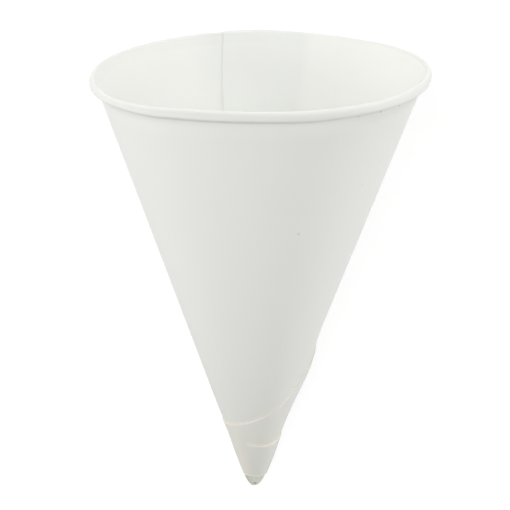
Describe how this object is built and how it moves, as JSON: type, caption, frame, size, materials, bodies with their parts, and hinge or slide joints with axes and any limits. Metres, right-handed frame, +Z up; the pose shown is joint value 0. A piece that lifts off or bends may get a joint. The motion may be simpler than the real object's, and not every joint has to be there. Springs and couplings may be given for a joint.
{
  "type": "cone paper cup",
  "caption": "Cone-shaped paper cup wound from one blank, with a lapped seam, a rolled rim and a closed pointed tip with a wrapped tail.",
  "frame": {"origin": "on the surface that the cup lies on, below the centre of its bounding box", "axes": "+Y from the tip towards the mouth along the surface, +Z up, +X to the right when seen from above with the mouth at the top; the cup's own axis rises 20.7 degrees towards the mouth"},
  "size_m": [0.072, 0.1002, 0.0676],
  "materials": {
    "paper": "matte uncoated white paper with a faint warm grey cast"
  },
  "bodies": {
    "root": {"cone_cup": "paper"}
  },
  "joints": []
}
